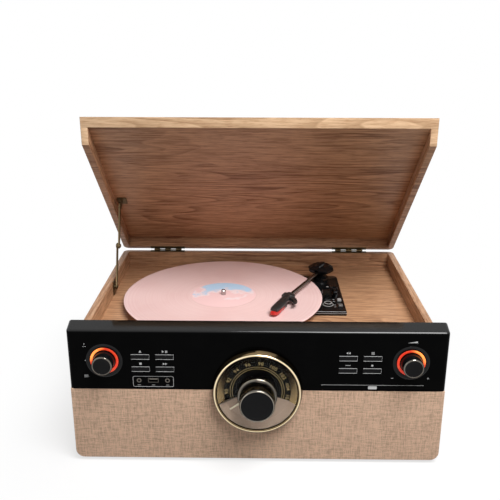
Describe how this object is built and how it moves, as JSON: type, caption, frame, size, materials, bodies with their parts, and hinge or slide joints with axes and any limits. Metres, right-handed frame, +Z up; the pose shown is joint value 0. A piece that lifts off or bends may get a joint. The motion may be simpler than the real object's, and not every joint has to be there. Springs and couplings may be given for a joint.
{
  "type": "stereo music centre",
  "caption": "Table-top stereo music centre: oak cabinet with a lidded record deck, tonearm, CD drawer, round radio dial, knobs, buttons and cloth-covered speakers.",
  "frame": {"origin": "on the surface it stands on, under the middle of the whole part with its lid open", "axes": "+X to the right along the front, +Y from the front to the back, +Z up"},
  "size_m": [0.4762, 0.4414, 0.4308],
  "materials": {
    "oak_board": "light oak wood grain vinyl over board, satin",
    "baffle_board": "raw fibre board",
    "grille_cloth": "woven beige cloth",
    "bezel_gloss": "piano black moulding",
    "foot_rubber": "matte",
    "screw_steel": "zinc plated",
    "hinge_brass": "antique bronze plated",
    "stay_brass": "antique brass plated",
    "platter_metal": "black painted pressing",
    "felt": "felt",
    "record_vinyl": "pale pink grooved vinyl with a pastel label",
    "spindle_steel": "bright",
    "bearing_brass": "turned",
    "motor_steel": "plated can",
    "pulley_brass": "turned",
    "belt_rubber": "matte",
    "arm_base_gloss": "piano black moulding",
    "arm_black": "satin black moulding",
    "arm_tube_metal": "dark satin tube",
    "cartridge_black": "satin",
    "stylus_red": "translucent red moulding",
    "lever_black": "satin black moulding",
    "switch_silver": "silver",
    "dial_gold": "pale gold plated",
    "dial_black": "printed scale with plain numbers",
    "dial_clear": "clear acrylic window",
    "pointer_pale": "cream",
    "tuning_black": "gloss black cap on a chromed body",
    "knob_black": "gloss black",
    "trim_chrome": "dark chrome ring",
    "light_ring": "lit orange light guide",
    "button_black": "gloss black with silver edge lines",
    "tray_black": "gloss black drawer",
    "mechanism_metal": "pressed steel",
    "socket_black": "satin",
    "socket_metal": "plated",
    "circuit_green": "circuit board with parts",
    "speaker_black": "pressed frame and paper cone",
    "terminal_black": "moulded plate"
  },
  "bodies": {
    "cabinet": {"base_board": "oak_board", "side_boards": "oak_board", "rear_board": "oak_board", "deck_board": "oak_board", "front_rail": "oak_board", "front_baffle": "baffle_board", "grille_cloth": "grille_cloth", "front_bezel": "bezel_gloss", "rubber_feet": "foot_rubber", "fixing_screws": "screw_steel", "hinge_cabinet_leaves": "hinge_brass", "stay_wall_bracket": "stay_brass", "platter_bearing": "bearing_brass", "drive_motor": "motor_steel", "drive_belt": "belt_rubber", "tonearm_base": "arm_base_gloss", "dial_rim": "dial_gold", "dial_face": "dial_black", "dial_lens": "dial_clear", "trim_rings": "trim_chrome", "light_rings": "light_ring", "cd_mechanism": "mechanism_metal", "socket_panel": "socket_black", "front_sockets": "socket_metal", "control_boards": "circuit_green", "main_board": "circuit_green", "speakers": "speaker_black", "terminal_plate": "terminal_black"},
    "lid": {"lid_panel": "oak_board", "lid_rails": "oak_board", "hinge_lid_leaves": "hinge_brass", "stay_lid_bracket": "stay_brass"},
    "stay_lower": {"stay_lower_arm": "stay_brass"},
    "stay_upper": {"stay_upper_arm": "stay_brass"},
    "turntable": {"platter": "platter_metal", "slip_mat": "felt", "record": "record_vinyl", "spindle": "spindle_steel"},
    "pulley": {"motor_pulley": "pulley_brass"},
    "arm_head": {"arm_hub": "arm_black"},
    "arm": {"arm_tube": "arm_tube_metal", "headshell": "arm_black", "cartridge": "cartridge_black", "stylus": "stylus_red"},
    "cue": {"cue_lever": "lever_black"},
    "speed": {"speed_switch": "switch_silver"},
    "auto_stop": {"auto_stop_switch": "switch_silver"},
    "tuning": {"tuning_knob": "tuning_black", "tuning_pointer": "pointer_pale"},
    "source": {"source_knob": "knob_black"},
    "volume": {"volume_knob": "knob_black"},
    "drawer": {"cd_tray": "tray_black"},
    "button_left_outer_upper": {"button_left_outer_upper": "button_black"},
    "button_left_outer_lower": {"button_left_outer_lower": "button_black"},
    "button_left_inner_upper": {"button_left_inner_upper": "button_black"},
    "button_left_inner_lower": {"button_left_inner_lower": "button_black"},
    "button_right_inner_upper": {"button_right_inner_upper": "button_black"},
    "button_right_inner_lower": {"button_right_inner_lower": "button_black"},
    "button_right_outer_upper": {"button_right_outer_upper": "button_black"},
    "button_right_outer_lower": {"button_right_outer_lower": "button_black"}
  },
  "joints": [
    {"name": "lid_hinge", "type": "hinge", "parent": "cabinet", "child": "lid", "pos_m": [0, 0.201, 0.1654], "axis": [1, 0, 0], "range_deg": [0, 43.45]},
    {"name": "stay_lower_pivot", "type": "hinge", "parent": "cabinet", "child": "stay_lower", "pos_m": [-0.22405, 0.0553, 0.152], "axis": [1, 0, 0], "range_deg": [0, 100.89]},
    {"name": "stay_upper_pivot", "type": "hinge", "parent": "lid", "child": "stay_upper", "pos_m": [-0.22155, 0.10204, 0.27279], "axis": [1, 0, 0], "range_deg": [-102.03, 0]},
    {"name": "platter_spin", "type": "hinge", "parent": "cabinet", "child": "turntable", "pos_m": [-0.0528, 0.0253, 0.1487], "axis": [0, 0, -1], "continuous": true},
    {"name": "pulley_spin", "type": "hinge", "parent": "cabinet", "child": "pulley", "pos_m": [-0.10937, 0.08187, 0.1407], "axis": [0, 0, -1], "continuous": true},
    {"name": "arm_swing", "type": "hinge", "parent": "cabinet", "child": "arm_head", "pos_m": [0.1033, 0.1113, 0.161], "axis": [0, 0, 1], "range_deg": [-17, 29]},
    {"name": "cue_lever_turn", "type": "hinge", "parent": "cabinet", "child": "cue", "pos_m": [0.1195, 0.0553, 0.1502], "axis": [-1, 0, 0], "range_deg": [0, 60]},
    {"name": "arm_lift", "type": "hinge", "parent": "arm_head", "child": "arm", "pos_m": [0.1033, 0.1113, 0.161], "axis": [0.891, -0.454, 0], "range_deg": [-4.5, 0]},
    {"name": "speed_switch_slide", "type": "slide", "parent": "cabinet", "child": "speed", "axis": [0, 1, 0], "range_m": [0, 0.005]},
    {"name": "auto_stop_switch_slide", "type": "slide", "parent": "cabinet", "child": "auto_stop", "axis": [0, 1, 0], "range_m": [0, 0.005]},
    {"name": "tuning_turn", "type": "hinge", "parent": "cabinet", "child": "tuning", "pos_m": [0, -0.18067, 0.107], "axis": [0, 1, 0], "range_deg": [0, 250]},
    {"name": "source_turn", "type": "hinge", "parent": "cabinet", "child": "source", "pos_m": [-0.192, -0.18067, 0.147], "axis": [0, 1, 0], "continuous": true},
    {"name": "volume_turn", "type": "hinge", "parent": "cabinet", "child": "volume", "pos_m": [0.192, -0.18067, 0.147], "axis": [0, 1, 0], "range_deg": [-150, 150]},
    {"name": "drawer_slide", "type": "slide", "parent": "cabinet", "child": "drawer", "axis": [0, -1, 0], "range_m": [0, 0.135]},
    {"name": "button_left_outer_upper_press", "type": "slide", "parent": "cabinet", "child": "button_left_outer_upper", "axis": [0, 1, 0], "range_m": [0, 0.001], "stiffness_N_per_m": 400, "springref_m": -0.0008},
    {"name": "button_left_outer_lower_press", "type": "slide", "parent": "cabinet", "child": "button_left_outer_lower", "axis": [0, 1, 0], "range_m": [0, 0.001], "stiffness_N_per_m": 400, "springref_m": -0.0008},
    {"name": "button_left_inner_upper_press", "type": "slide", "parent": "cabinet", "child": "button_left_inner_upper", "axis": [0, 1, 0], "range_m": [0, 0.001], "stiffness_N_per_m": 400, "springref_m": -0.0008},
    {"name": "button_left_inner_lower_press", "type": "slide", "parent": "cabinet", "child": "button_left_inner_lower", "axis": [0, 1, 0], "range_m": [0, 0.001], "stiffness_N_per_m": 400, "springref_m": -0.0008},
    {"name": "button_right_inner_upper_press", "type": "slide", "parent": "cabinet", "child": "button_right_inner_upper", "axis": [0, 1, 0], "range_m": [0, 0.001], "stiffness_N_per_m": 400, "springref_m": -0.0008},
    {"name": "button_right_inner_lower_press", "type": "slide", "parent": "cabinet", "child": "button_right_inner_lower", "axis": [0, 1, 0], "range_m": [0, 0.001], "stiffness_N_per_m": 400, "springref_m": -0.0008},
    {"name": "button_right_outer_upper_press", "type": "slide", "parent": "cabinet", "child": "button_right_outer_upper", "axis": [0, 1, 0], "range_m": [0, 0.001], "stiffness_N_per_m": 400, "springref_m": -0.0008},
    {"name": "button_right_outer_lower_press", "type": "slide", "parent": "cabinet", "child": "button_right_outer_lower", "axis": [0, 1, 0], "range_m": [0, 0.001], "stiffness_N_per_m": 400, "springref_m": -0.0008}
  ],
  "couplings": [
    {"joint": "stay_lower_pivot", "follows": "lid_hinge", "ratio": 2.3196},
    {"joint": "stay_upper_pivot", "follows": "lid_hinge", "ratio": -2.346},
    {"joint": "pulley_spin", "follows": "platter_spin", "ratio": 10},
    {"joint": "arm_lift", "follows": "cue_lever_turn", "ratio": -0.075}
  ]
}
